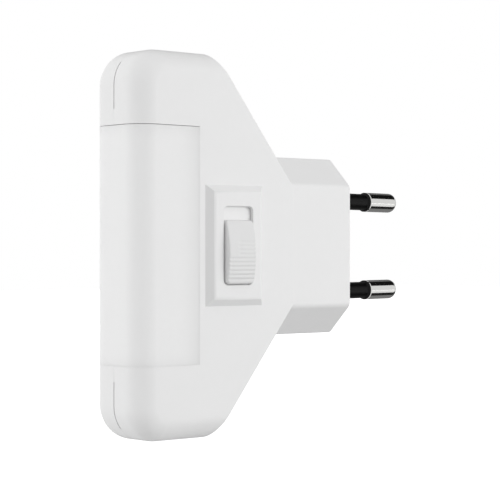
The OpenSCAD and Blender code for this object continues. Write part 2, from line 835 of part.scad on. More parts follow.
// ---- Light source ----

module reflector_tray() {
    w = tray_w / 2;
    h = tray_h / 2;
    color("white") difference() {
        box([-w, tray_y - tray_depth, -h], [w, tray_y, h]);
        box([tray_wall - w, tray_y - tray_depth - cut, tray_wall - h],
            [w - tray_wall, led_y, h - tray_wall]);
        link_holes();
    }
}

module led_board() {
    w = strip_board_w / 2;
    h = strip_board_l / 2;
    color("whitesmoke") difference() {
        box([-w, led_y - board_t, -h], [w, led_y, h]);
        link_holes();
    }
}

// LED with a round well in its face
module led(z) {
    s = led_side / 2;
    color([0.95, 0.9, 0.6]) difference() {
        box([-s, led_y - board_t - led_t, z - s], [s, led_y - board_t, z + s]);
        translate([0, led_y - board_t - led_t - cut, z]) rotate([-90, 0, 0])
            cylinder(r = 0.8 * s, h = cut + 0.5);
    }
}

module led_1() { led(-led_pitch); }
module led_2() { led(0); }
module led_3() { led(led_pitch); }

left_shell();
right_shell();
diffuser();
switch_knob();
contact_bridge();
contact_spring();
switch_frame();
terminal_supply();
terminal_load();
pin_upper();
pin_lower();
sleeve_upper();
sleeve_lower();
driver_board();
film_capacitor();
bleed_resistor();
fuse_resistor();
bridge_rectifier();
smoothing_capacitor();
reflector_tray();
led_board();
led_1();
led_2();
led_3();
link_pin_upper();
link_pin_lower();
supply_wire_upper();
supply_wire_lower();
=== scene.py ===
"""Plug-in night light: the finish of every piece, the studio and the camera.

Lengths are in metres, except where a comment says millimetres. +Z is up, the front faces -Y, the
switch is on +X, and the origin is the centre of the plug's flat face, which meets the socket.
"""

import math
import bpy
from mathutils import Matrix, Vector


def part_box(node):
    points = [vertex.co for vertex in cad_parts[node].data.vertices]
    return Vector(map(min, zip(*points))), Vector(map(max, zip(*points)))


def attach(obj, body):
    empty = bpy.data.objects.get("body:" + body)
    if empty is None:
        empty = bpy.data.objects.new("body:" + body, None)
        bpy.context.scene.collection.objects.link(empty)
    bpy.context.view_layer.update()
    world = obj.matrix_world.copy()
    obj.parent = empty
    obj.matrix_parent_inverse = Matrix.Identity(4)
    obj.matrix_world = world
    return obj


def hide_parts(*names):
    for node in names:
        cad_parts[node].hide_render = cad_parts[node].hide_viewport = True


bl_info = {
    "name": "Plug-in night light",
    "version": (1, 0, 0),
    "blender": (4, 5, 0),
    "location": "3D View > Sidebar > Night light",
    "description": "Builds the pieces of a plug-in night light around its packed frame",
    "category": "Object",
}

import bmesh
import bpy
from bpy.props import FloatProperty, FloatVectorProperty, PointerProperty
from mathutils import Matrix, Vector

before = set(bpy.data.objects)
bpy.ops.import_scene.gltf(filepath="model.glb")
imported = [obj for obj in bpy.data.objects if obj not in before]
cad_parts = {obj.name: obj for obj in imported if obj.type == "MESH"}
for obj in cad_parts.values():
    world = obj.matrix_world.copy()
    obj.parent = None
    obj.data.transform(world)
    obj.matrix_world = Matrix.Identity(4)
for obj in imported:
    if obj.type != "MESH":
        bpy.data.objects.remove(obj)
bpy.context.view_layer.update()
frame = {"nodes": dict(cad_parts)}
NODES = frame["nodes"]

MM = 0.001

# Points closer than MERGE are one, and a point within NEAR of a surface lies on it
MERGE = 0.001 * MM
NEAR = 0.02 * MM

# Faces that meet within FLAT are one face, and edges are softened from BLUNT on
FLAT = math.radians(0.2)
BLUNT = math.radians(20)

HOUSING = "housing"
SLIDER = "slider"


def linear(code):
    """Linear colour of an sRGB hex value."""
    parts = [(code >> shift & 255) / 255 for shift in (16, 8, 0)]
    return [c / 12.92 if c <= 0.04045 else ((c + 0.055) / 1.055) ** 2.4 for c in parts]


# ---- Sizes that pieces share, from the frame where it has them ----

SHELL_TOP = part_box("right_shell")[1]
GLOW_LOW, GLOW_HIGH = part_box("diffuser")
KNOB_LOW, KNOB_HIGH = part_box("switch_knob")
HALF_W = GLOW_HIGH.x
FRONT_Y = GLOW_LOW.y
TOP_Z = SHELL_TOP.z
PANEL_X = SHELL_TOP.x
PANEL_Y = (KNOB_LOW.y + KNOB_HIGH.y) / 2
REST_Z = (KNOB_LOW.z + KNOB_HIGH.z) / 2

# Rounding of the housing: its long edges, and its front corners seen from the side
EDGE_R = 4.4 * MM
CORNER_R = 6.8 * MM

# A slanted back leaves the flat top at this place along Y and ends at its foot on the plug block
SLANT_START = -36.2 * MM
SLANT_FOOT = Vector((0, -16.2, 11.5)) * MM

# Limits that pick out the plug block's narrow ends, which lie 17.7 mm from the middle
BLOCK_TOP = 17.6 * MM
BLOCK_ROOT = -22 * MM
BLOCK_END_HALF = 1.2 * MM

# Size of the switch panel's window, and the outer face of the cover plate behind it
WINDOW = Vector((0, 7.3, 15.0)) * MM
COVER_X = PANEL_X - 0.8 * MM

# The diffuser's opening, and the gaps that the solids leave around it
OPENING_TOP = 22.4 * MM
OPENING_BACK = FRONT_Y + 14.6 * MM
COVER_GAP = 0.05 * MM
COVER_GAP_TOP = 0.15 * MM

# Height and lean of a pin's axis at the plug's face, and how far the edges of its hole reach
PIN_Z = 9.3 * MM
PIN_LEAN = math.radians(0.6)
PIN_HOLE_REACH = 2.5 * MM


# ---- Settings ----

COLOUR = {"subtype": "COLOR", "size": 3, "min": 0.0, "max": 1.0}
LENGTH = {"subtype": "DISTANCE", "unit": "LENGTH", "min": 0.0, "precision": 5}


def a_colour(name, description, code):
    """A colour setting whose default is an sRGB hex value."""
    return FloatVectorProperty(name=name, description=description, default=linear(code), **COLOUR)


def a_length(name, description, millimetres):
    """A length setting whose default is given in millimetres."""
    return FloatProperty(name=name, description=description, default=millimetres * MM, **LENGTH)


class Colours(bpy.types.PropertyGroup):
    """Colours of the finishes"""

    housing: a_colour("Housing", "ABS of the two shells", 0xEBEBEB)
    diffuser: a_colour("Diffuser", "Frosted cover of the lamp", 0xEFEFEF)
    thumb: a_colour("Thumb piece", "ABS of the switch", 0xE2E2E2)
    # The cover plate's colour is painted lighter than the housing's: painted light against the shade of
    # the recess it sits in
    cover: a_colour("Cover plate", "ABS of the plate in the window, painted lighter", 0xEFEFEF)
    pins: a_colour("Pins", "Nickel plate of the plug pins", 0xD6D6D4)
    sleeves: a_colour("Sleeves", "Insulating sleeves of the pins", 0x080808)
    brass: a_colour("Contacts", "Brass strip of the switch and header", 0xD9B878)
    spring: a_colour("Spring", "Steel wire of the contact spring", 0xB9B9BC)
    frame: a_colour("Switch frame", "Nylon of the switch's body", 0x3A3A3C)
    board: a_colour("Driver board", "Solder mask of the driver board", 0x2A6B42)
    led_board: a_colour("LED board", "Solder mask of the LED board", 0xEDEDE8)
    solder: a_colour("Solder", "Solder joints and tinned leads", 0xC9CACC)
    film: a_colour("Film capacitor", "Case of the film capacitor", 0xC79A3A)
    bleed: a_colour("Bleed resistor", "Lacquer of the bleed resistor", 0xD2BA90)
    fuse: a_colour("Fuse resistor", "Lacquer of the fuse resistor", 0x7FA3C4)
    rectifier: a_colour("Rectifier", "Epoxy of the rectifier", 0x1E1E1E)
    can: a_colour("Smoothing capacitor", "Sleeve of the can", 0x1E2850)
    tray: a_colour("Reflector tray", "Tray behind the diffuser", 0xEFEFED)
    led: a_colour("LED case", "Ceramic case of the LEDs", 0xF0EFE8)
    phosphor: a_colour("LED phosphor", "Phosphor of the LEDs", 0xF2D66A)
    supply: a_colour("Brown wire", "PVC of the upper wire", 0x6B3F22)
    neutral: a_colour("Blue wire", "PVC of the lower wire", 0x2E62A8)


class Softening(bpy.types.PropertyGroup):
    """How far the edges of the shells and the diffuser are rounded"""

    rim: a_length("Plug rim", "Rim of the plug's face", 0.4)
    hole: a_length("Pin holes", "Edges of the holes for the pins", 0.1)
    ends: a_length("Block ends", "Narrow ends of the plug block", 0.25)
    panel: a_length("Switch panel", "Edges of the switch panel", 0.3)
    window: a_length("Window", "Edge of the window in the panel", 0.1)
    slant: a_length("Slanted backs", "Edges of the slanted backs", 0.15)
    seam: a_length("Diffuser seam", "Edges along the diffuser's top", 0.08)
    parting: a_length("Parting line", "Edges where the shells meet", 0.05)


class Thumb(bpy.types.PropertyGroup):
    """Form of the switch's thumb piece"""

    width: a_length("Width", "Size along Y", 6.8)
    height: a_length("Height", "Size along Z", 12.1)
    corner: a_length("Corners", "Radius of the corners", 0.8)
    edge: a_length("Edge", "Rounding of the upper edge", 0.32)
    rise: a_length("Rise", "Height of the crest over the panel", 1.35)
    bow: a_length("Bow", "Radius of the crown, seen from the side", 22.2)
    pitch: a_length("Groove spacing", "Distance between grooves", 0.79)
    groove: a_length("Groove width", "Width of each groove", 0.78)
    deep: a_length("Deepest groove", "Depth of the lowest groove", 0.12)
    shallow: a_length("Shallowest groove", "Depth of the highest groove", 0.07)


class Settings(bpy.types.PropertyGroup):
    """Settings of the night light"""

    colours: PointerProperty(type=Colours)
    softening: PointerProperty(type=Softening)
    thumb: PointerProperty(type=Thumb)


# ---- Node trees ----


def add(tree, kind, inputs=(), **settings):
    """Adds a node. inputs holds pairs of a socket's name or index and a value or a socket to link."""
    made = tree.nodes.new(kind)
    for key, value in settings.items():
        setattr(made, key, value)
    for key, value in inputs:
        if isinstance(value, bpy.types.NodeSocket):
            tree.links.new(value, made.inputs[key])
        else:
            made.inputs[key].default_value = value
    return made


def new_material(name, colour, shader=()):
    """A material with one Principled shader, whose uniform values are set on its own sockets."""
    made = bpy.data.materials.new(name)
    made.use_nodes = True
    made.diffuse_color = (*colour[:3], 1)
    tree = made.node_tree
    principled = tree.nodes["Principled BSDF"]
    principled.inputs["Base Color"].default_value = (*colour[:3], 1)
    for key, value in shader:
        principled.inputs[key].default_value = value
    return made, tree, principled


def scaled(colour, share):
    return (*[c * share for c in colour[:3]], 1)


def in_place(tree, stretch=(1, 1, 1), middle=(0, 0, 0)):
    """Object coordinates about a middle, stretched along the axes."""
    place = add(tree, "ShaderNodeTexCoord")
    moved = add(
        tree,
        "ShaderNodeVectorMath",
        [(0, place.outputs["Object"]), (1, tuple(middle))],
        operation="SUBTRACT",
    )
    turned = add(tree, "ShaderNodeMapping", [("Vector", moved.outputs["Vector"]), ("Scale", stretch)])
    return turned.outputs["Vector"]


def uneven(tree, principled, at, size, relief, roughness, spread, tones):
    """Drives tone, gloss and relief from one noise whose features are size wide."""
    wave = add(tree, "ShaderNodeTexNoise", [("Vector", at), ("Scale", 1 / size), ("Detail", 3.0)])
    gloss = add(
        tree,
        "ShaderNodeMapRange",
        [("Value", wave.outputs["Fac"]), ("To Min", roughness - spread), ("To Max", roughness + spread)],
    )
    light, dark = tones
    tone = add(tree, "ShaderNodeMix", [("Factor", wave.outputs["Fac"])], data_type="RGBA")
    for key, value in (("A", light), ("B", dark)):
        socket = [i for i in tone.inputs if i.name == key and i.type == "RGBA"][0]
        socket.default_value = value
    bump = add(
        tree,
        "ShaderNodeBump",
        [("Height", wave.outputs["Fac"]), ("Distance", relief), ("Strength", 1.0)],
    )
    tree.links.new(gloss.outputs["Result"], principled.inputs["Roughness"])
    tree.links.new(bump.outputs["Normal"], principled.inputs["Normal"])
    result = [o for o in tone.outputs if o.type == "RGBA"][0]
    tree.links.new(result, principled.inputs["Base Color"])
    return result


def moulded(name, colour, size, relief, roughness, shader=(), spread=0.05, fade=0.985):
    """Injection-moulded plastic: a soft unevenness of that size, left by the mould's own polish."""
    made, tree, principled = new_material(name, colour, shader)
    tones = scaled(colour, 1), scaled(colour, fade)
    uneven(tree, principled, in_place(tree), size, relief, roughness, spread, tones)
    return made


def drawn(name, colour, stretch, relief, roughness, spread=0.04, fade=0.93):
    """Metal with fine marks of its making. stretch gives the size of a mark along each axis."""
    made, tree, principled = new_material(name, colour, [("Metallic", 1.0)])
    tones = scaled(colour, 1), scaled(colour, fade)
    lines = in_place(tree, [1 / s for s in stretch])
    uneven(tree, principled, lines, 1.0, relief, roughness, spread, tones)
    return made


# ---- Materials ----

# How far the painted shade reaches on the diffuser towards its back and its ends, and the share of its
# tone it takes there
BACK_PAINTED_SHADE = (6.0 * MM, 0.1)
END_PAINTED_SHADE = (3.5 * MM, 0.05)


def white_abs(tones):
    # ABS moulded in a satin-polished tool: a soft, wide sheen and no visible grain
    return moulded("white ABS, satin moulded", tones.housing, 1.4 * MM, 0.004 * MM, 0.42, [("IOR", 1.54)])


def frosted_polycarbonate(tones):
    # Polycarbonate with a diffusing filler: light enters it a little, so its edges look soft. Less light
    # comes back through it where it beds into the shells, and that shade is painted into its colour:
    # painted shade that darkens it towards those edges
    shader = [
        ("IOR", 1.58),
        ("Subsurface Weight", 0.3),
        ("Subsurface Radius", (1.0, 1.0, 1.0)),
        ("Subsurface Scale", 0.8 * MM),
    ]
    colour = tones.diffuser
    made, tree, principled = new_material("frosted polycarbonate", colour, shader)
    at = in_place(tree)
    surface = scaled(colour, 1), scaled(colour, 0.985)
    tone = uneven(tree, principled, at, 1.0 * MM, 0.006 * MM, 0.5, 0.05, surface)
    parts = add(tree, "ShaderNodeSeparateXYZ", [("Vector", at)])
    height = add(tree, "ShaderNodeMath", [(0, parts.outputs["Z"])], operation="ABSOLUTE")
    # Painted shade: the tone is darkened towards the back edge and towards the top and bottom ends
    painted_shade_parts = [
        painted_shade_towards_edge(tree, parts.outputs["Y"], OPENING_BACK, *BACK_PAINTED_SHADE),
        painted_shade_towards_edge(tree, height.outputs[0], OPENING_TOP, *END_PAINTED_SHADE),
    ]
    painted_shade_factor = add(tree, "ShaderNodeMath", list(enumerate(painted_shade_parts)), operation="MULTIPLY")
    tone_with_painted_shade = add(
        tree, "ShaderNodeVectorMath", [(0, tone), ("Scale", painted_shade_factor.outputs[0])], operation="SCALE"
    )
    tree.links.new(tone_with_painted_shade.outputs["Vector"], principled.inputs["Base Color"])
    return made


def painted_shade_towards_edge(tree, distance, edge, width, loss):
    """Painted shade: 1 away from an edge, falling by loss over the last width before it."""
    near = add(
        tree, "ShaderNodeMapRange", [("Value", distance), ("From Min", edge - width), ("From Max", edge)]
    )
    curve = add(tree, "ShaderNodeMath", [(0, near.outputs["Result"]), (1, 2.0)], operation="POWER")
    share = add(
        tree, "ShaderNodeMapRange", [("Value", curve.outputs[0]), ("To Min", 1.0), ("To Max", 1 - loss)]
    )
    return share.outputs["Result"]


def thumb_abs(tones):
    # The same ABS from a duller cavity, which gives the thumb piece a slightly deeper tone
    return moulded("white ABS, fine matt", tones.thumb, 1.0 * MM, 0.004 * MM, 0.48, [("IOR", 1.54)])


def cover_abs_painted_lighter(tones):
    # ABS polished for an easy slide: smoother than the thumb piece on it. Its colour is painted a little
    # lighter, as painted light against the shade of the window's recess
    return moulded("white ABS, polished, painted lighter", tones.cover, 1.4 * MM, 0.004 * MM, 0.38, [("IOR", 1.54)])


def nickel_plate(tones):
    # Nickel-plated turned brass, polished: mirror-like, with faint rings from the lathe
    rings = (30 * MM, 0.25 * MM, 30 * MM)
    return drawn("nickel plate on turned brass", tones.pins, rings, 0.0004 * MM, 0.1, 0.03)


def black_polyamide(tones):
    # Polyamide moulded over the pins: near black, with a dull gloss
    shader = [("IOR", 1.53), ("Specular IOR Level", 0.12)]
    return moulded("black polyamide, moulded", tones.sleeves, 0.8 * MM, 0.003 * MM, 0.38, shader)


def brass_strip(tones):
    # Rolled and stamped brass: bright, with lines along the strip
    return drawn("rolled brass strip", tones.brass, (0.08 * MM, 0.08 * MM, 3 * MM), 0.001 * MM, 0.28)


def spring_wire(tones):
    # Drawn spring steel: grey and smooth
    return drawn("drawn spring steel", tones.spring, (0.3 * MM, 0.3 * MM, 0.3 * MM), 0.001 * MM, 0.3)


def solder(tones):
    # Tin solder and tinned copper: bright, and lumpy where it froze
    return drawn("tin solder", tones.solder, (0.4 * MM, 0.4 * MM, 0.4 * MM), 0.01 * MM, 0.25)


def aluminium_cup(tones):
    # Drawn aluminium of the capacitor's can: pale and brushed
    return drawn("drawn aluminium", tones.solder, (0.1 * MM, 3 * MM, 3 * MM), 0.001 * MM, 0.35)


def glass_nylon(tones):
    # Glass-filled nylon: dark grey and slightly rough from its fibres
    return moulded("glass-filled nylon", tones.frame, 0.3 * MM, 0.012 * MM, 0.55, [("IOR", 1.53)])


def polyester_box(tones):
    # Flame-retardant polyester box, moulded with a matt face
    return moulded("polyester capacitor box", tones.film, 0.5 * MM, 0.01 * MM, 0.5)


def moulding_epoxy(tones):
    # Moulding epoxy, matt black
    return moulded("black moulding epoxy", tones.rectifier, 0.3 * MM, 0.01 * MM, 0.6)


def shrunk_pvc(tones):
    # Shrink sleeve of dark PVC, drawn tight over the can: smooth and glossy
    return moulded("shrunk PVC sleeve", tones.can, 0.8 * MM, 0.01 * MM, 0.25, [("IOR", 1.52)])


def white_pbt(tones):
    # PBT with white pigment, polished inside: bright, with a clear gloss
    return moulded("white PBT, polished", tones.tray, 1.2 * MM, 0.003 * MM, 0.3, [("IOR", 1.55)])


def led_ceramic(tones):
    # Sintered ceramic: chalky white
    return moulded("LED ceramic", tones.led, 0.2 * MM, 0.004 * MM, 0.5)


def phosphor_silicone(tones):
    # Silicone filled with phosphor: a smooth yellow lens
    return moulded("phosphor silicone", tones.phosphor, 0.3 * MM, 0.002 * MM, 0.2, [("IOR", 1.45)])


def extruded_pvc(word, colour):
    # PVC extruded over the copper: smooth and very slightly uneven
    return moulded("extruded PVC, " + word, colour, 0.6 * MM, 0.004 * MM, 0.4, [("IOR", 1.53)])


def laminate(name, colour, thread=0.5 * MM):
    """Solder mask over woven glass: a gloss through which the cloth shows as a faint square weave."""
    made, tree, principled = new_material(name, colour, [("Roughness", 0.35), ("IOR", 1.5)])
    at = in_place(tree)
    # The wave texture repeats each time its scaled coordinate grows by tau / 20
    weave = [
        add(
            tree,
            "ShaderNodeTexWave",
            [("Vector", at), ("Scale", math.tau / (20 * thread)), ("Distortion", 0.4)],
            bands_direction=axis,
        )
        for axis in ("Y", "Z")
    ]
    warp, weft = (wave.outputs["Fac"] for wave in weave)
    cloth = add(tree, "ShaderNodeMath", [(0, warp), (1, weft)], operation="MULTIPLY")
    ramp = add(tree, "ShaderNodeValToRGB", [("Fac", cloth.outputs[0])])
    ramp.color_ramp.elements[0].color = scaled(colour, 0.9)
    ramp.color_ramp.elements[1].color = scaled(colour, 1.06)
    relief = [("Height", cloth.outputs[0]), ("Distance", 0.004 * MM), ("Strength", 1.0)]
    bump = add(tree, "ShaderNodeBump", relief)
    tree.links.new(ramp.outputs["Color"], principled.inputs["Base Color"])
    tree.links.new(bump.outputs["Normal"], principled.inputs["Normal"])
    return made


def banded(name, colour, bands, middle, length, ring=0.08, grit=0.3 * MM):
    """Resistor lacquer: a flat, slightly rough coat with painted rings.

    bands holds pairs of a ring's place and its colour. A place and ring, the width of one, are
    shares of the body's length.
    """
    made, tree, principled = new_material(name, colour, [("Roughness", 0.45)])
    at = in_place(tree, (1 / length, 1 / length, 1 / length), middle)
    parts = add(tree, "ShaderNodeSeparateXYZ", [("Vector", at)])
    share = add(tree, "ShaderNodeMath", [(0, parts.outputs["Z"]), (1, 0.5)], operation="ADD")
    ramp = add(tree, "ShaderNodeValToRGB", [("Fac", share.outputs[0])])
    ramp.color_ramp.interpolation = "CONSTANT"
    ramp.color_ramp.elements[0].color = scaled(colour, 1)
    ramp.color_ramp.elements.remove(ramp.color_ramp.elements[1])
    for place, code in bands:
        ramp.color_ramp.elements.new(place).color = scaled(linear(code), 1)
        ramp.color_ramp.elements.new(place + ring).color = scaled(colour, 1)
    noise = add(tree, "ShaderNodeTexNoise", [("Vector", in_place(tree)), ("Scale", 1 / grit)])
    relief = [("Height", noise.outputs["Fac"]), ("Distance", 0.01 * MM), ("Strength", 1.0)]
    bump = add(tree, "ShaderNodeBump", relief)
    tree.links.new(ramp.outputs["Color"], principled.inputs["Base Color"])
    tree.links.new(bump.outputs["Normal"], principled.inputs["Normal"])
    return made


# ---- Where a point of the housing lies ----


def on(value):
    return abs(value) < NEAR


def skin_depth(p):
    """How far a point lies below the skin of the rounded housing, without its slanted backs."""
    y, z = p.y - (FRONT_Y + CORNER_R), abs(p.z) - (TOP_Z - CORNER_R)
    inward = CORNER_R - math.hypot(y, z) if y < 0 < z else min(p.y - FRONT_Y, TOP_Z - abs(p.z))
    u, v = abs(p.x) - (HALF_W - EDGE_R), EDGE_R - inward
    return EDGE_R - math.hypot(u, v) if u > 0 and v > 0 else min(HALF_W - abs(p.x), inward)


def slant_depth(p):
    """How far a point lies from the plane of a slanted back."""
    along = Vector((SLANT_START - SLANT_FOOT.y, TOP_Z - SLANT_FOOT.z)).normalized()
    away = Vector((p.y - SLANT_START, abs(p.z) - TOP_Z))
    return away.y * along.x - away.x * along.y


def in_window(p):
    return abs(p.y - PANEL_Y) < WINDOW.y / 2 + NEAR and abs(p.z) < WINDOW.z / 2 + NEAR


def at_pin_hole(p):
    return math.hypot(p.x, abs(p.z) - PIN_Z) < PIN_HOLE_REACH


def on_parting_line(p):
    """On the plane where the shells meet: at the plug's face or the skin, or beyond the plug block."""
    outside = p.y > -NEAR or on(skin_depth(p)) or on(slant_depth(p)) or abs(p.z) > BLOCK_TOP
    return on(p.x) and outside


def on_block_end(p):
    """Along one of the plug block's two narrow ends."""
    return abs(p.z) > BLOCK_TOP and p.y > BLOCK_ROOT and abs(p.x) < BLOCK_END_HALF


# ---- Building pieces ----

# Rounding of the inner pieces' edges
FRAME_EDGE = 0.2 * MM
STRIP_EDGE = 0.06 * MM
BOARD_EDGE = 0.06 * MM
FILM_EDGE = 0.35 * MM
EPOXY_EDGE = 0.12 * MM
TRAY_EDGE = 0.15 * MM
LED_EDGE = 0.08 * MM
HEADER_EDGE = 0.08 * MM


def merged(name):
    """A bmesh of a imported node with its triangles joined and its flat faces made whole."""
    bm = bmesh.new()
    bm.from_mesh(NODES[name].data)
    bmesh.ops.remove_doubles(bm, verts=bm.verts, dist=MERGE)
    bmesh.ops.dissolve_limit(
        bm, angle_limit=FLAT, verts=bm.verts, edges=bm.edges, use_dissolve_boundaries=False
    )
    return bm


def soften(bm, rules, widest):
    """Gives each convex edge the softening width of the first rule that holds at both its ends."""
    layers = bm.edges.layers.float
    weight = layers.get("bevel_weight_edge") or layers.new("bevel_weight_edge")
    for edge in bm.edges:
        if not edge.is_manifold or not edge.is_convex or edge.calc_face_angle() < BLUNT:
            continue
        a, b = (v.co for v in edge.verts)
        for width, rule in rules:
            if rule(a) and rule(b):
                edge[weight] = width / widest
                break


def put(name, bm, body, stands_for, slot_name, *materials, widest=0.0, segments=3, sharp=30):
    """Makes the finished piece of a bmesh: smooth faces, softened edges, its body and its materials.

    widest is the greatest softening, and sharp the angle in degrees from which an edge stays crisp.
    """
    for face in bm.faces:
        face.smooth = True
    for edge in bm.edges:
        edge.smooth = not edge.is_manifold or edge.calc_face_angle() < math.radians(sharp)
    mesh = bpy.data.meshes.new(name)
    bm.to_mesh(mesh)
    bm.free()
    piece = bpy.data.objects.new(name, mesh)
    bpy.context.scene.collection.objects.link(piece)
    for material in materials:
        mesh.materials.append(material)
    if widest:
        bevel = piece.modifiers.new("softened edges", "BEVEL")
        bevel.limit_method = "WEIGHT"
        bevel.width = widest
        bevel.segments = segments
        bevel.use_clamp_overlap = True
        bevel.miter_outer = "MITER_ARC"
    normals = piece.modifiers.new("even shading", "WEIGHTED_NORMAL")
    normals.keep_sharp = True
    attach(piece, body)
    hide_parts(stands_for)
    return piece


def dressed(name, body, node, slot_name, material, width):
    """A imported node's own form with all its outer edges rounded."""
    bm = merged(node)
    soften(bm, [(width, lambda p: True)], width)
    return put(name, bm, body, node, slot_name, material, widest=width, segments=2)


def lathe(bm, profile, place, steps=96):
    """Turns a profile about the Y axis, sets it in place and returns its faces.

    The profile holds pairs of a radius and a distance along Y, in millimetres.
    """
    ring = [bm.verts.new((r * MM, y * MM, 0)) for r, y in profile]
    edges = [bm.edges.new(pair) for pair in zip(ring, ring[1:])]
    turned = bmesh.ops.spin(
        bm, geom=ring + edges, cent=(0, 0, 0), axis=(0, 1, 0), angle=math.tau, steps=steps, use_merge=True
    )
    last = [item for item in turned["geom_last"] if isinstance(item, bmesh.types.BMVert)]
    made = connected(ring + last)
    bmesh.ops.remove_doubles(bm, verts=list(made), dist=MERGE)
    made = [v for v in made if v.is_valid]
    faces = list({f for v in made for f in v.link_faces})
    bmesh.ops.recalc_face_normals(bm, faces=faces)
    bmesh.ops.transform(bm, matrix=place, verts=made)
    return faces


def connected(verts):
    """All vertices that edges join to the given ones."""
    found, waiting = set(verts), list(verts)
    while waiting:
        for edge in waiting.pop().link_edges:
            for other in edge.verts:
                if other not in found:
                    found.add(other)
                    waiting.append(other)
    return found


def tube(bm, points, radius):
    """Adds a round tube with closed ends along a list of points and returns its faces."""
    curve = bpy.data.curves.new("tube", "CURVE")
    curve.dimensions = "3D"
    curve.bevel_depth = radius
    curve.bevel_resolution = 4
    curve.use_fill_caps = True
    spline = curve.splines.new("POLY")
    spline.points.add(len(points) - 1)
    for point, at in zip(spline.points, points):
        point.co = (*at, 1)
    path = bpy.data.objects.new("tube", curve)
    mesh = bpy.data.meshes.new_from_object(path)
    old = set(bm.verts)
    bm.from_mesh(mesh)
    made = [v for v in bm.verts if v not in old]
    bmesh.ops.remove_doubles(bm, verts=made, dist=MERGE)
    faces = list({f for v in bm.verts if v not in old for f in v.link_faces})
    bmesh.ops.recalc_face_normals(bm, faces=faces)
    bpy.data.objects.remove(path)
    bpy.data.curves.remove(curve)
    bpy.data.meshes.remove(mesh)
    return faces


def at_pin(side):
    """Sets the Y axis on a pin's axis: side is 1 for the upper pin and -1 for the lower one."""
    return Matrix.Translation((0, 0, side * PIN_Z)) @ Matrix.Rotation(-side * PIN_LEAN, 4, "X")


def upright(at):
    """Turns a lathe's axis from Y to Z and sets it at a place."""
    return Matrix.Translation(at) @ Matrix.Rotation(math.radians(90), 4, "X")


def arc(cx, cy, r, start, end, steps):
    """Points of an arc about a centre, between two angles in degrees."""
    turn = [math.radians(start + (end - start) * i / steps) for i in range(steps + 1)]
    return [(cx + r * math.cos(t), cy + r * math.sin(t)) for t in turn]


# ---- Housing and diffuser ----

# Shares of its gaps that the diffuser's outer wall takes up: below and behind, and above
BEDDED = 0.9
BEDDED_TOP = 0.5


class NIGHTLIGHT_OT_shells(bpy.types.Operator):
    """Makes the two shells of the housing, with their edges softened as the mould leaves them"""

    bl_idname = "night_light.shells"
    bl_label = "Housing shells"

    def execute(self, context):
        settings = context.scene.night_light
        soft = settings.softening
        white = white_abs(settings.colours)
        rules = [
            (soft.window, lambda p: on(p.x - PANEL_X) and in_window(p)),
            (soft.panel, lambda p: on(p.x - PANEL_X) and not in_window(p)),
            (soft.parting, on_parting_line),
            (soft.rim, lambda p: on(p.y) and not at_pin_hole(p)),
            (soft.hole, lambda p: on(p.y) and at_pin_hole(p)),
            (soft.slant, lambda p: on(slant_depth(p)) and on(skin_depth(p))),
            (soft.ends, on_block_end),
            (soft.seam, lambda p: on(p.z - OPENING_TOP) and on(skin_depth(p))),
        ]
        for side in ("left", "right"):
            node = side + "_shell"
            bm = merged(node)
            soften(bm, rules, soft.rim)
            put("housing_" + side, bm, HOUSING, node, "housing_plastic", white, widest=soft.rim)
        return {"FINISHED"}


class NIGHTLIGHT_OT_diffuser(bpy.types.Operator):
    """Makes the frosted cover that runs up the rounded front"""

    bl_idname = "night_light.diffuser"
    bl_label = "Diffuser"

    def execute(self, context):
        settings = context.scene.night_light
        width = settings.softening.seam
        frosted = frosted_polycarbonate(settings.colours)
        bm = merged("diffuser")
        self.close_gaps(bm)
        soften(bm, [(width, lambda p: p.z > 0 and on(skin_depth(p)))], width)
        put("glow_cover", bm, HOUSING, "diffuser", "diffuser_plastic", frosted, widest=width, segments=2)
        return {"FINISHED"}

    def close_gaps(self, bm):
        """Lets the cover's outer wall bed into the shells, as it does once they are pressed together."""
        for v in bm.verts:
            if on(v.co.z + OPENING_TOP - COVER_GAP):
                v.co.z -= BEDDED * COVER_GAP
            if on(v.co.z - OPENING_TOP + COVER_GAP_TOP):
                v.co.z += BEDDED_TOP * COVER_GAP_TOP
            if on(v.co.y - OPENING_BACK + COVER_GAP):
                v.co.y += BEDDED * COVER_GAP


# ---- Slide switch ----

# Grooves, with places from the thumb piece's middle. The lower ones cross the whole crown, and
# the upper ones start part of the way back
GROOVES = 10
LOWER_GROOVES = 6
FIRST_GROOVE = -5.2 * MM
LOWER_START = -3.6 * MM
UPPER_START = -1.2 * MM
GROOVE_EASE = 0.6 * MM

# The crown's highest place, from the thumb piece's middle
CREST_Z = -0.75 * MM

# The solid is cut just outside its cover plate, and the shaped thumb piece starts inside the plate
THUMB_CUT_X = COVER_X + 0.02 * MM
THUMB_ROOT_X = COVER_X - 0.1 * MM

# Spring: radius of its wire, its turns, and the points in each
WIRE_R = 0.175 * MM
TURNS = 5
PER_TURN = 28


def ease(value, start, end):
    """0 before start and 1 after end, with a smooth step between them."""
    t = min(max((value - start) / (end - start), 0), 1)
    return t * t * (3 - 2 * t)


def groove_depth(y, z, thumb):
    """How deep the grooves are at a place of the crown."""
    total = 0
    for i in range(GROOVES):
        dz = abs(z - (FIRST_GROOVE + i * thumb.pitch))
        if dz < thumb.groove / 2:
            start = LOWER_START if i < LOWER_GROOVES else UPPER_START
            depth = thumb.deep + (thumb.shallow - thumb.deep) * i / (GROOVES - 1)
            reach = ease(y, start, start + GROOVE_EASE)
            total += depth * reach * (0.5 + 0.5 * math.cos(math.tau * dz / thumb.groove))
    return total


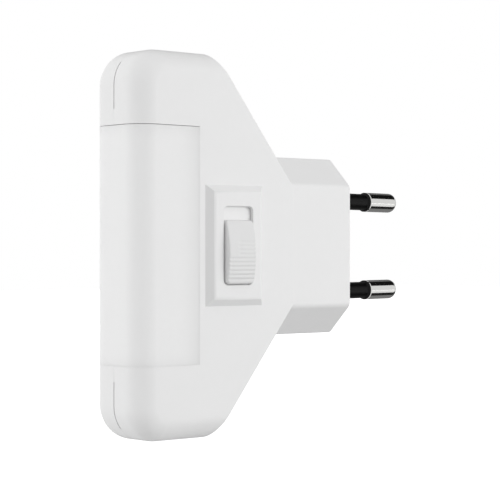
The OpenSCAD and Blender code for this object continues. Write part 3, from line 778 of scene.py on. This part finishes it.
def thumb_point(u, w, thumb):
    """Point of the thumb piece's top for u across and w up, each from -1 to 1."""
    half_y, half_z = thumb.width / 2, thumb.height / 2
    z = half_z * math.sin(w * math.pi / 2)
    past = abs(z) - (half_z - thumb.corner)
    row = half_y - thumb.corner + math.sqrt(max(thumb.corner**2 - max(past, 0) ** 2, 0))
    y = row * math.sin(u * math.pi / 2)
    across = abs(y) - (half_y - thumb.corner)
    if across > 0 and past > 0:
        inside = thumb.corner - math.hypot(across, past)
    else:
        inside = min(half_y - abs(y), half_z - abs(z))
    inside = min(max(inside, 0), thumb.edge)
    drop = thumb.edge - math.sqrt(thumb.edge**2 - (thumb.edge - inside) ** 2)
    x = thumb.rise - (z - CREST_Z) ** 2 / (2 * thumb.bow) - drop - groove_depth(y, z, thumb)
    return Vector((PANEL_X + x, PANEL_Y + y, REST_Z + z))


def thumb_top(bm, thumb):
    """Adds the closed, crowned and grooved thumb piece."""
    grid = bmesh.ops.create_grid(bm, x_segments=44, y_segments=210, size=1)["verts"]
    for v in grid:
        v.co = thumb_point(v.co.x, v.co.y, thumb)
    rim = [e for e in bm.edges if e.is_boundary and e.verts[0] in set(grid)]
    sides = bmesh.ops.extrude_edge_only(bm, edges=rim)["geom"]
    for item in sides:
        if isinstance(item, bmesh.types.BMVert):
            item.co.x = THUMB_ROOT_X
    lower = [e for e in sides if isinstance(e, bmesh.types.BMEdge)]
    bmesh.ops.contextual_create(bm, geom=lower)
    faces = list({f for v in connected(set(grid)) for f in v.link_faces})
    bmesh.ops.recalc_face_normals(bm, faces=faces)
    return faces


class NIGHTLIGHT_OT_switch(bpy.types.Operator):
    """Makes the thumb piece with its slider, and the contacts and frame behind it"""

    bl_idname = "night_light.switch"
    bl_label = "Slide switch"

    def execute(self, context):
        settings = context.scene.night_light
        tones = settings.colours
        self.thumb_slide(tones, settings.thumb)
        dressed("switch_body", HOUSING, "switch_frame", "frame_plastic", glass_nylon(tones), FRAME_EDGE)
        brass = brass_strip(tones)
        for name, body, node in (
            ("contact_supply", HOUSING, "terminal_supply"),
            ("contact_load", HOUSING, "terminal_load"),
            ("moving_contact", SLIDER, "contact_bridge"),
        ):
            dressed(name, body, node, "contact_metal", brass, STRIP_EDGE)
        self.coil(tones)
        return {"FINISHED"}

    def thumb_slide(self, tones, thumb):
        bm = merged("switch_knob")
        bmesh.ops.bisect_plane(
            bm,
            geom=[*bm.verts, *bm.edges, *bm.faces],
            dist=MERGE,
            plane_co=(THUMB_CUT_X, 0, 0),
            plane_no=(1, 0, 0),
            clear_outer=True,
        )
        bmesh.ops.holes_fill(bm, edges=[e for e in bm.edges if e.is_boundary])
        for face in thumb_top(bm, thumb):
            face.material_index = 1
        # The cover plate's finish has its colour painted lighter, as painted light in the window's recess
        finishes = cover_abs_painted_lighter(tones), thumb_abs(tones)
        put("thumb_slide", bm, SLIDER, "switch_knob", "knob_plastic", *finishes, sharp=38)

    def coil(self, tones):
        low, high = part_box("contact_spring")
        radius = (high.y - low.y) / 2 - WIRE_R
        at = (low + high) / 2
        count = TURNS * PER_TURN
        rise = high.x - low.x - 2 * WIRE_R
        points = [
            (
                low.x + WIRE_R + rise * i / count,
                at.y + radius * math.cos(math.tau * i / PER_TURN),
                at.z + radius * math.sin(math.tau * i / PER_TURN),
            )
            for i in range(count + 1)
        ]
        bm = bmesh.new()
        tube(bm, points, WIRE_R)
        put("coil_spring", bm, SLIDER, "contact_spring", "spring_steel", spring_wire(tones))


# ---- Plug pins ----

# Sizes of a pin and its sleeve in millimetres, with places along the pin from the plug's face
PIN_R = 2
TIP_R = 1.5
NECK_R = 1.25
DISC_R = 3.2
TAIL_R = 1.55
CUP_R = 0.75
PIN_END = 19
NECK_END = 10.8
SHOULDER_EDGE = 0.14
DISC_START = -7.1
DISC_END = -5.3
CUP_FLOOR = -10
TAIL_START = -13
BORE_R = 1.26
SLEEVE_R = 1.7
SLEEVE_START = -1.98
SLEEVE_END = 10.76


class NIGHTLIGHT_OT_pins(bpy.types.Operator):
    """Turns the two plug pins and their insulating sleeves"""

    bl_idname = "night_light.pins"
    bl_label = "Plug pins"

    def execute(self, context):
        tones = context.scene.night_light.colours
        turned = (
            ("pin", self.pin_outline(), "pin_metal", nickel_plate(tones)),
            ("sleeve", self.sleeve_outline(), "sleeve_plastic", black_polyamide(tones)),
        )
        for word, side in (("upper", 1), ("lower", -1)):
            for part, profile, slot_name, finish in turned:
                bm = bmesh.new()
                lathe(bm, profile, at_pin(side))
                node = part + "_" + word
                put("plug_" + node, bm, HOUSING, node, slot_name, finish, sharp=25)
        return {"FINISHED"}

    def pin_outline(self):
        """Solder cup in the tail, disc that holds the pin in the housing, neck and rounded tip."""
        cup = [(0, CUP_FLOOR), (CUP_R, CUP_FLOOR), (CUP_R, -12.85), (0.9, TAIL_START)]
        tail = [(1.4, TAIL_START), (TAIL_R, -12.85), (TAIL_R, DISC_START)]
        disc = [(3.1, DISC_START), (DISC_R, -7.0), (DISC_R, -5.4), (3.1, DISC_END), (PIN_R, DISC_END)]
        neck = [(PIN_R, -2), (NECK_R, -2), (NECK_R, NECK_END)]
        shoulder = [(PIN_R - SHOULDER_EDGE, NECK_END), (PIN_R, NECK_END + SHOULDER_EDGE)]
        tip = arc(PIN_R - TIP_R, PIN_END - TIP_R, TIP_R, 0, 90, 12)
        return cup + tail + disc + neck + shoulder + tip + [(0, PIN_END)]

    def sleeve_outline(self):
        """Bore, outside, and the collar that swells to the pin's radius."""
        collar = [(SLEEVE_R, 10.1), (1.97, 10.42), (PIN_R, 10.5), (PIN_R, 10.7), (1.94, SLEEVE_END)]
        outside = [(BORE_R, SLEEVE_START), (SLEEVE_R, SLEEVE_START), *collar]
        return outside + [(BORE_R, SLEEVE_END), (BORE_R, SLEEVE_START)]


# ---- Driver board ----

# Leads: their radius, the radius of their bends, and where they start from a resistor's middle
LEAD_R = 0.3 * MM
LEAD_BEND = 0.8 * MM
LEAD_START = 3.0 * MM

# Greatest radius and length of a resistor's body, in millimetres
RESISTOR_R = 1.15
RESISTOR_L = 6.5

# Painted rings of the resistors: place along the body as a share of its length, and colour
BLEED_RINGS = [(0.26, 0x6B3F22), (0.4, 0x1A1A1A), (0.54, 0xB02A20), (0.72, 0xB8912F)]
FUSE_RINGS = [(0.3, 0xC8A23A), (0.46, 0x1A1A1A), (0.66, 0xB8912F)]


class NIGHTLIGHT_OT_driver(bpy.types.Operator):
    """Makes the driver board and the parts soldered to it"""

    bl_idname = "night_light.driver"
    bl_label = "Driver board"

    def execute(self, context):
        tones = context.scene.night_light.colours
        tin = solder(tones)
        green = laminate("green solder mask on glass cloth", tones.board)
        self.board(green, tin)
        case, epoxy = polyester_box(tones), moulding_epoxy(tones)
        dressed("dropper_capacitor", HOUSING, "film_capacitor", "film_case", case, FILM_EDGE)
        dressed("rectifier_block", HOUSING, "bridge_rectifier", "rectifier_case", epoxy, EPOXY_EDGE)
        self.resistor("bleed_resistor", "bleed_coat", tones.bleed, BLEED_RINGS, tin)
        self.resistor("fuse_resistor", "fuse_coat", tones.fuse, FUSE_RINGS, tin)
        self.can(tones)
        return {"FINISHED"}

    def board(self, green, tin):
        """The board, with a solder joint round each lead of the resistors."""
        bm = merged("driver_board")
        soften(bm, [(BOARD_EDGE, lambda p: True)], BOARD_EDGE)
        face_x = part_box("driver_board")[1].x
        # A steep cone of solder round the lead, with a wide foot just inside the board
        joint = [(0, 0.75), (0.35, 0.7), (0.5, 0.4), (0.95, 0.06), (1.0, -0.02), (0, -0.02)]
        for node in ("bleed_resistor", "fuse_resistor"):
            low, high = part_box(node)
            y = (low.y + high.y) / 2
            for z in (low.z + LEAD_R, high.z - LEAD_R):
                place = Matrix.Translation((face_x, y, z)) @ Matrix.Rotation(math.radians(-90), 4, "Z")
                for face in lathe(bm, joint, place, 24):
                    face.material_index = 1
        looks = {"widest": BOARD_EDGE, "segments": 1}
        put("circuit_board", bm, HOUSING, "driver_board", "board_laminate", green, tin, **looks)

    def resistor(self, node, slot_name, coat, rings, tin):
        """A resistor with bulging ends, and its two leads bent down to the board."""
        low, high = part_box(node)
        middle = (low + high) / 2
        axis_x = low.x + RESISTOR_R * MM
        end = -RESISTOR_L / 2
        body = [(0, end), (0.7, end), (1.05, -3.0), (RESISTOR_R, -2.6), (1.1, -2.1), (0.98, -1.7)]
        body += [(r, -y) for r, y in reversed(body)]
        bm = bmesh.new()
        centre = Vector((axis_x, middle.y, middle.z))
        lathe(bm, body, upright(centre), 48)
        for side in (-1, 1):
            tip = (high.z - middle.z - LEAD_R) * side
            turn = arc(LEAD_BEND, 0, LEAD_BEND, 180, 90, 8)
            leg = [(axis_x, middle.y, middle.z + side * LEAD_START)]
            leg += [(axis_x + x, middle.y, middle.z + tip - side * (LEAD_BEND - z)) for x, z in turn]
            leg += [(high.x, middle.y, middle.z + tip)]
            for face in tube(bm, leg, LEAD_R):
                face.material_index = 1
        name = "lacquer, " + node.replace("_", " ")
        lacquer = banded(name, coat, rings, centre, RESISTOR_L * MM)
        put(node + "_body", bm, HOUSING, node, slot_name, lacquer, tin, sharp=50)

    def can(self, tones):
        """The smoothing capacitor. Its sleeve wraps a bare end and follows the crimp near the other."""
        low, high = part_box("smoothing_capacitor")
        at = Vector(((low.x + high.x) / 2, (low.y + high.y) / 2, low.z))
        r, h = (high.x - low.x) / 2 / MM, (high.z - low.z) / MM
        sleeve = [(r - 0.7, 0), (r - 0.3, 0.03), (r, 0.35), (r, h - 1.9), (r - 0.3, h - 1.5)]
        sleeve += [(r - 0.3, h - 1.2), (r, h - 0.8), (r, h - 0.2), (r - 0.25, h), (0, h)]
        bare = [(0, 0.06), (r - 0.8, 0.06), (r - 0.7, 0)]
        bm = bmesh.new()
        lathe(bm, bare + sleeve, upright(at), 72)
        inner = (r - 0.72) * MM
        for face in bm.faces:
            centre = face.calc_center_median()
            if centre.z < low.z + 0.1 * MM and math.hypot(centre.x - at.x, centre.y - at.y) < inner:
                face.material_index = 1
        pvc, cup = shrunk_pvc(tones), aluminium_cup(tones)
        put("smoothing_can", bm, HOUSING, "smoothing_capacitor", "can_sleeve", pvc, cup, sharp=50)


# ---- Light source ----

# Depth of the recess in an LED's case
RECESS = 0.5 * MM


class NIGHTLIGHT_OT_light_source(bpy.types.Operator):
    """Makes the reflector tray, the LED board, its LEDs and the header pins that feed it"""

    bl_idname = "night_light.light_source"
    bl_label = "Light source"

    def execute(self, context):
        tones = context.scene.night_light.colours
        dressed("light_tray", HOUSING, "reflector_tray", "tray_plastic", white_pbt(tones), TRAY_EDGE)
        mask = laminate("white solder mask on glass cloth", tones.led_board)
        dressed("led_strip", HOUSING, "led_board", "led_board_laminate", mask, BOARD_EDGE)
        finishes = led_ceramic(tones), phosphor_silicone(tones)
        for number in ("1", "2", "3"):
            self.led(number, finishes)
        brass = brass_strip(tones)
        for word in ("upper", "lower"):
            dressed("header_" + word, HOUSING, "link_pin_" + word, "contact_metal", brass, HEADER_EDGE)
        return {"FINISHED"}

    def led(self, number, finishes):
        """An LED: its case, with a low dome of a lens on the floor of the case's recess."""
        node = "led_" + number
        bm = merged(node)
        soften(bm, [(LED_EDGE, lambda p: True)], LED_EDGE)
        low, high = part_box(node)
        lens = [(0, -0.36), (0.9, -0.3), (1.6, -0.14), (1.95, 0.02), (1.95, 0.04), (0, 0.04)]
        place = Matrix.Translation(((low.x + high.x) / 2, low.y + RECESS, (low.z + high.z) / 2))
        for face in lathe(bm, lens, place, 48):
            face.material_index = 1
        put("light_" + number, bm, HOUSING, node, "led_case", *finishes, widest=LED_EDGE, segments=2)


# ---- Supply wires ----

WIRE_BEND = 1.4 * MM


class NIGHTLIGHT_OT_wires(bpy.types.Operator):
    """Makes the two insulated wires from the pins to the driver board"""

    bl_idname = "night_light.wires"
    bl_label = "Supply wires"

    def execute(self, context):
        tones = context.scene.night_light.colours
        for word, slot_name, colour in (
            ("upper", "wire_brown", tones.supply),
            ("lower", "wire_blue", tones.neutral),
        ):
            node = "supply_wire_" + word
            low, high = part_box(node)
            radius = (high.z - low.z) / 2
            z = (high.z + low.z) / 2
            y = low.y + radius
            turn = arc(-WIRE_BEND, y + WIRE_BEND, WIRE_BEND, 0, -90, 10)
            points = [(0, high.y, z)] + [(a, b, z) for a, b in turn] + [(low.x, y, z)]
            bm = bmesh.new()
            tube(bm, points, radius)
            put("wire_" + word, bm, HOUSING, node, slot_name, extruded_pvc(word, colour), sharp=50)
        return {"FINISHED"}


# ---- Stage ----

# The camera's place, and its turn about Z
CAMERA_AT = (0.26338, -0.25094, -0.00093)
CAMERA_TURN = math.radians(48.9)

# Lamps: degrees from the front towards the switch's side, degrees above the horizon, side in
# metres and power in watts
LAMPS = {
    "right": (124, 2, 0.5, 3.1),
    "front_left": (-20, 2, 0.5, 3.0),
    "high_right": (110, 50, 0.5, 0.35),
}
LAMP_DISTANCE = 0.8
ROOM_LIGHT = 0.69
AIM = Vector((0, -27, 0)) * MM

# Light of its own lifts the floor to white for the camera, and less in reflections
FLOOR_Z = -90 * MM
FLOOR_SIZE = 3
FLOOR_COLOUR = 0xD0D0D0
FLOOR_SEEN = 0.8
FLOOR_MIRRORED = 0.5

# Dark and grey boards that only reflections show, so that the metal has something to mirror: two
# corners in X and Z and the ends along Y, in millimetres, then the level
FLAGS = {
    "above": ((342, 365), (-190, 480), (100, 1100), 0.01),
    "behind": ((-190, 480), (-433, 250), (100, 1100), 0.2),
    "beyond": ((-380, 250), (-380, -88), (150, 1300), 0.05),
    "below": ((92, -88), (17, -88), (5, 300), 0.02),
    "under": ((17, -88), (-380, -88), (5, 500), 0.26),
}


def seen_directly(tree, kinds):
    """1 for rays of the given kinds and 0 for the rest, so that lighting doesn't change."""
    path = add(tree, "ShaderNodeLightPath")
    seen = path.outputs[kinds[0]]
    for kind in kinds[1:]:
        either = add(tree, "ShaderNodeMath", [(0, seen), (1, path.outputs[kind])], operation="MAXIMUM")
        seen = either.outputs[0]
    return seen


def staged(name, bm):
    """Makes a stage object of a bmesh."""
    mesh = bpy.data.meshes.new(name)
    bm.to_mesh(mesh)
    bm.free()
    made = bpy.data.objects.new(name, mesh)
    bpy.context.scene.collection.objects.link(made)
    return made


class NIGHTLIGHT_OT_stage(bpy.types.Operator):
    """Sets the camera, the white room, the lamps, the floor and the reflected boards"""

    bl_idname = "night_light.stage"
    bl_label = "Stage"

    def execute(self, context):
        scene = context.scene
        scene.view_settings.view_transform = "Standard"
        self.camera(scene)
        self.room(scene)
        for name, (azimuth, elevation, size, power) in LAMPS.items():
            self.lamp(scene, name, math.radians(azimuth), math.radians(elevation), size, power)
        self.floor()
        for name, (start, end, reach, level) in FLAGS.items():
            self.flag(name, start, end, reach, level)
        return {"FINISHED"}

    def camera(self, scene):
        lens = bpy.data.cameras.new("camera")
        lens.lens = 127.03
        lens.sensor_width = 36
        lens.shift_y = 0.001
        lens.clip_start = 0.01
        camera = bpy.data.objects.new("camera", lens)
        camera.location = CAMERA_AT
        camera.rotation_euler = (math.radians(90), 0, CAMERA_TURN)
        scene.collection.objects.link(camera)
        scene.camera = camera

    def room(self, scene):
        world = bpy.data.worlds.new("white room")
        world.use_nodes = True
        scene.world = world
        tree = world.node_tree
        tree.nodes.clear()
        seen = seen_directly(tree, ("Is Camera Ray", "Is Glossy Ray", "Is Transmission Ray"))
        level = add(tree, "ShaderNodeMapRange", [("Value", seen), ("To Min", ROOM_LIGHT), ("To Max", 1.0)])
        back = add(
            tree, "ShaderNodeBackground", [("Color", (1, 1, 1, 1)), ("Strength", level.outputs["Result"])]
        )
        add(tree, "ShaderNodeOutputWorld", [("Surface", back.outputs[0])])

    def lamp(self, scene, name, azimuth, elevation, size, power):
        lamp = bpy.data.lights.new(name, "AREA")
        lamp.shape = "SQUARE"
        lamp.size = size
        lamp.energy = power
        made = bpy.data.objects.new("lamp_" + name, lamp)
        flat = math.cos(elevation)
        way = Vector((math.sin(azimuth) * flat, -math.cos(azimuth) * flat, math.sin(elevation)))
        made.location = AIM + way * LAMP_DISTANCE
        made.rotation_euler = way.to_track_quat("Z", "Y").to_euler()
        made.visible_camera = False
        made.visible_glossy = False
        scene.collection.objects.link(made)

    def floor(self):
        bm = bmesh.new()
        bmesh.ops.create_grid(bm, x_segments=1, y_segments=1, size=FLOOR_SIZE)
        bmesh.ops.translate(bm, vec=(0, 0, FLOOR_Z), verts=bm.verts)
        floor = staged("floor", bm)
        made, tree, principled = new_material("white floor", linear(FLOOR_COLOUR), [("Roughness", 0.9)])
        path = add(tree, "ShaderNodeLightPath")
        glossy = [(0, path.outputs["Is Glossy Ray"]), (1, FLOOR_MIRRORED)]
        mirrored = add(tree, "ShaderNodeMath", glossy, operation="MULTIPLY")
        lift = add(
            tree,
            "ShaderNodeMath",
            [(0, path.outputs["Is Camera Ray"]), (1, FLOOR_SEEN), (2, mirrored.outputs[0])],
            operation="MULTIPLY_ADD",
        )
        glow = add(tree, "ShaderNodeEmission", [("Color", (1, 1, 1, 1)), ("Strength", lift.outputs[0])])
        both = add(tree, "ShaderNodeAddShader", [(0, principled.outputs[0]), (1, glow.outputs[0])])
        tree.links.new(both.outputs[0], tree.nodes["Material Output"].inputs["Surface"])
        floor.data.materials.append(made)

    def flag(self, name, start, end, reach, level):
        bm = bmesh.new()
        corner = [bm.verts.new((x * MM, reach[0] * MM, z * MM)) for x, z in (start, end)]
        edge = bm.edges.new(corner)
        drawn_out = bmesh.ops.extrude_edge_only(bm, edges=[edge])["geom"]
        far = [v for v in drawn_out if isinstance(v, bmesh.types.BMVert)]
        bmesh.ops.translate(bm, vec=(0, (reach[1] - reach[0]) * MM, 0), verts=far)
        board = staged("flag_" + name, bm)
        for kind in ("camera", "diffuse", "transmission", "shadow", "volume_scatter"):
            setattr(board, "visible_" + kind, False)
        made, tree, principled = new_material("flag " + name, (level, level, level))
        tree.nodes.remove(principled)
        glow = add(tree, "ShaderNodeEmission", [("Color", (1, 1, 1, 1)), ("Strength", level)])
        tree.links.new(glow.outputs[0], tree.nodes["Material Output"].inputs["Surface"])
        board.data.materials.append(made)


# ---- Panel and registration ----

OPERATORS = (
    NIGHTLIGHT_OT_stage,
    NIGHTLIGHT_OT_shells,
    NIGHTLIGHT_OT_diffuser,
    NIGHTLIGHT_OT_switch,
    NIGHTLIGHT_OT_pins,
    NIGHTLIGHT_OT_driver,
    NIGHTLIGHT_OT_light_source,
    NIGHTLIGHT_OT_wires,
)


class VIEW3D_PT_night_light(bpy.types.Panel):
    """Lists the night light's pieces and settings"""

    bl_label = "Night light"
    bl_space_type = "VIEW_3D"
    bl_region_type = "UI"
    bl_category = "Night light"

    def draw(self, context):
        for operator in OPERATORS:
            self.layout.operator(operator.bl_idname)
        settings = context.scene.night_light
        for group in (settings.colours, settings.softening, settings.thumb):
            box = self.layout.box()
            for key in group.bl_rna.properties.keys():
                if key not in ("rna_type", "name"):
                    box.prop(group, key)


CLASSES = (Colours, Softening, Thumb, Settings, *OPERATORS, VIEW3D_PT_night_light)


def register():
    for made in CLASSES:
        bpy.utils.register_class(made)
    bpy.types.Scene.night_light = PointerProperty(type=Settings)


def unregister():
    del bpy.types.Scene.night_light
    for made in reversed(CLASSES):
        bpy.utils.unregister_class(made)


def main():
    register()
    bpy.ops.night_light.stage()
    bpy.ops.night_light.shells()
    bpy.ops.night_light.diffuser()
    bpy.ops.night_light.switch()
    bpy.ops.night_light.pins()
    bpy.ops.night_light.driver()
    bpy.ops.night_light.light_source()
    bpy.ops.night_light.wires()


if __name__ == "__main__":
    main()
